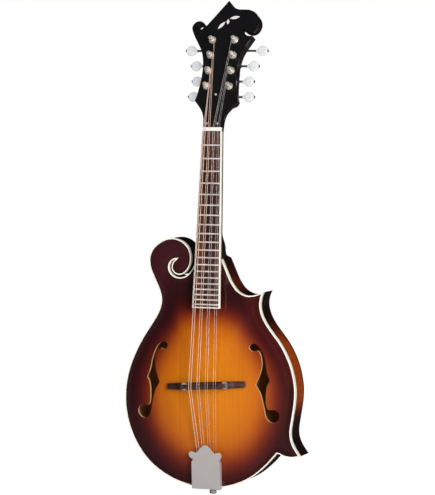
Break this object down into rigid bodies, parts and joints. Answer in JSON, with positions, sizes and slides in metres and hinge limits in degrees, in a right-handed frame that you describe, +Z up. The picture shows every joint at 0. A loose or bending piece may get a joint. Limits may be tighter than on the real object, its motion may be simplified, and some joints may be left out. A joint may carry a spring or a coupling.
{
  "type": "mandolin",
  "caption": "Scrolled, arched-top mandolin with f-holes, floating bridge on thumbwheels, geared tuners and a slide-off tailpiece cover; held and played by plucking paired strings.",
  "frame": {"origin": "centre of the strap button head at the tail end, on the centreline, at mid-depth of the ribs", "axes": "+Z up the centreline to the headstock, -Y out of the front (string) side, +X towards the treble side"},
  "size_m": [0.2607, 0.1124, 0.6946],
  "materials": {
    "spruce_top": "gloss",
    "maple_back": "gloss",
    "maple_ribs": "gloss",
    "block_wood": "raw",
    "lining_wood": "raw",
    "spruce_raw": "raw",
    "binding": "gloss",
    "neck_wood": "gloss",
    "black_face": "gloss",
    "pearl": "pearl",
    "steel": "satin",
    "black_plastic": "gloss",
    "nickel": "polished",
    "rosewood": "oiled",
    "fret_nickel": "polished",
    "bone": "satin",
    "rosewood_bridge": "oiled",
    "brass_nickel": "polished",
    "satin_nickel": "satin",
    "bronze_string": "wound",
    "button_pearloid": "pearl"
  },
  "bodies": {
    "instrument": {"top_plate": "spruce_top", "back_plate": "maple_back", "ribs": "maple_ribs", "head_block": "block_wood", "tail_block": "block_wood", "point_blocks": "block_wood", "linings": "lining_wood", "tone_bars": "spruce_raw", "body_binding": "binding", "neck": "neck_wood", "headstock_veneer": "black_face", "headstock_inlay": "pearl", "truss_rod": "steel", "truss_cover": "black_plastic", "truss_cover_screws": "nickel", "fingerboard": "rosewood", "board_binding": "binding", "frets": "fret_nickel", "nut": "bone", "bridge_base": "rosewood_bridge", "bridge_posts": "brass_nickel", "tailpiece_base": "satin_nickel", "tailpiece_screws": "nickel", "strap_button": "nickel", "tuner_plate_bass": "satin_nickel", "tuner_plate_treble": "satin_nickel", "tuner_plate_screws": "nickel", "bushings": "nickel", "strings_wound": "bronze_string", "strings_plain": "steel"},
    "saddle_unit": {"saddle": "rosewood_bridge"},
    "wheel_bass": {"thumbwheel_bass": "nickel"},
    "wheel_treble": {"thumbwheel_treble": "nickel"},
    "cover": {"tailpiece_cover": "satin_nickel"},
    "key_b1": {"shaft_b1": "satin_nickel", "button_b1": "button_pearloid"},
    "roller_b1": {"post_b1": "nickel"},
    "key_b2": {"shaft_b2": "satin_nickel", "button_b2": "button_pearloid"},
    "roller_b2": {"post_b2": "nickel"},
    "key_b3": {"shaft_b3": "satin_nickel", "button_b3": "button_pearloid"},
    "roller_b3": {"post_b3": "nickel"},
    "key_b4": {"shaft_b4": "satin_nickel", "button_b4": "button_pearloid"},
    "roller_b4": {"post_b4": "nickel"},
    "key_t1": {"shaft_t1": "satin_nickel", "button_t1": "button_pearloid"},
    "roller_t1": {"post_t1": "nickel"},
    "key_t2": {"shaft_t2": "satin_nickel", "button_t2": "button_pearloid"},
    "roller_t2": {"post_t2": "nickel"},
    "key_t3": {"shaft_t3": "satin_nickel", "button_t3": "button_pearloid"},
    "roller_t3": {"post_t3": "nickel"},
    "key_t4": {"shaft_t4": "satin_nickel", "button_t4": "button_pearloid"},
    "roller_t4": {"post_t4": "nickel"}
  },
  "joints": [
    {"name": "saddle_height", "type": "slide", "parent": "instrument", "child": "saddle_unit", "axis": [0, -1, 0], "range_m": [-0.0005, 0.0015], "deforming": ["strings_wound", "strings_plain"]},
    {"name": "thumbwheel_bass_turn", "type": "hinge", "parent": "saddle_unit", "child": "wheel_bass", "pos_m": [-0.02993, -0.0402, 0.15246], "axis": [0, -1, 0], "range_deg": [-228, 684]},
    {"name": "thumbwheel_treble_turn", "type": "hinge", "parent": "saddle_unit", "child": "wheel_treble", "pos_m": [0.02993, -0.0402, 0.15654], "axis": [0, -1, 0], "range_deg": [-228, 684]},
    {"name": "tailpiece_cover_slide", "type": "slide", "parent": "instrument", "child": "cover", "axis": [0, -0.0872, 0.9962], "range_m": [0, 0.014]},
    {"name": "key_b1_turn", "type": "hinge", "parent": "instrument", "child": "key_b1", "pos_m": [-0.01663, 0.02075, 0.55611], "axis": [1, 0, 0], "continuous": true},
    {"name": "roller_b1_turn", "type": "hinge", "parent": "instrument", "child": "roller_b1", "pos_m": [-0.01663, 0.00486, 0.57122], "axis": [0, -0.9437, 0.3308], "continuous": true},
    {"name": "key_b2_turn", "type": "hinge", "parent": "instrument", "child": "key_b2", "pos_m": [-0.01663, 0.02836, 0.57782], "axis": [1, 0, 0], "continuous": true},
    {"name": "roller_b2_turn", "type": "hinge", "parent": "instrument", "child": "roller_b2", "pos_m": [-0.01663, 0.01247, 0.59293], "axis": [0, -0.9437, 0.3308], "continuous": true},
    {"name": "key_b3_turn", "type": "hinge", "parent": "instrument", "child": "key_b3", "pos_m": [-0.01663, 0.03597, 0.59952], "axis": [1, 0, 0], "continuous": true},
    {"name": "roller_b3_turn", "type": "hinge", "parent": "instrument", "child": "roller_b3", "pos_m": [-0.01663, 0.02008, 0.61463], "axis": [0, -0.9437, 0.3308], "continuous": true},
    {"name": "key_b4_turn", "type": "hinge", "parent": "instrument", "child": "key_b4", "pos_m": [-0.01663, 0.04358, 0.62123], "axis": [1, 0, 0], "continuous": true},
    {"name": "roller_b4_turn", "type": "hinge", "parent": "instrument", "child": "roller_b4", "pos_m": [-0.01663, 0.02769, 0.63633], "axis": [0, -0.9437, 0.3308], "continuous": true},
    {"name": "key_t1_turn", "type": "hinge", "parent": "instrument", "child": "key_t1", "pos_m": [0.01663, 0.02075, 0.55611], "axis": [1, 0, 0], "continuous": true},
    {"name": "roller_t1_turn", "type": "hinge", "parent": "instrument", "child": "roller_t1", "pos_m": [0.01663, 0.00486, 0.57122], "axis": [0, -0.9437, 0.3308], "continuous": true},
    {"name": "key_t2_turn", "type": "hinge", "parent": "instrument", "child": "key_t2", "pos_m": [0.01663, 0.02836, 0.57782], "axis": [1, 0, 0], "continuous": true},
    {"name": "roller_t2_turn", "type": "hinge", "parent": "instrument", "child": "roller_t2", "pos_m": [0.01663, 0.01247, 0.59293], "axis": [0, -0.9437, 0.3308], "continuous": true},
    {"name": "key_t3_turn", "type": "hinge", "parent": "instrument", "child": "key_t3", "pos_m": [0.01663, 0.03597, 0.59952], "axis": [1, 0, 0], "continuous": true},
    {"name": "roller_t3_turn", "type": "hinge", "parent": "instrument", "child": "roller_t3", "pos_m": [0.01663, 0.02008, 0.61463], "axis": [0, -0.9437, 0.3308], "continuous": true},
    {"name": "key_t4_turn", "type": "hinge", "parent": "instrument", "child": "key_t4", "pos_m": [0.01663, 0.04358, 0.62123], "axis": [1, 0, 0], "continuous": true},
    {"name": "roller_t4_turn", "type": "hinge", "parent": "instrument", "child": "roller_t4", "pos_m": [0.01663, 0.02769, 0.63633], "axis": [0, -0.9437, 0.3308], "continuous": true}
  ],
  "couplings": [
    {"joint": "thumbwheel_bass_turn", "follows": "saddle_height", "rad_per_m": 7913.3},
    {"joint": "thumbwheel_treble_turn", "follows": "saddle_height", "rad_per_m": 7913.3},
    {"joint": "roller_b1_turn", "follows": "key_b1_turn", "ratio": -0.0625},
    {"joint": "roller_b2_turn", "follows": "key_b2_turn", "ratio": -0.0625},
    {"joint": "roller_b3_turn", "follows": "key_b3_turn", "ratio": -0.0625},
    {"joint": "roller_b4_turn", "follows": "key_b4_turn", "ratio": -0.0625},
    {"joint": "roller_t1_turn", "follows": "key_t1_turn", "ratio": -0.0625},
    {"joint": "roller_t2_turn", "follows": "key_t2_turn", "ratio": -0.0625},
    {"joint": "roller_t3_turn", "follows": "key_t3_turn", "ratio": -0.0625},
    {"joint": "roller_t4_turn", "follows": "key_t4_turn", "ratio": -0.0625}
  ]
}
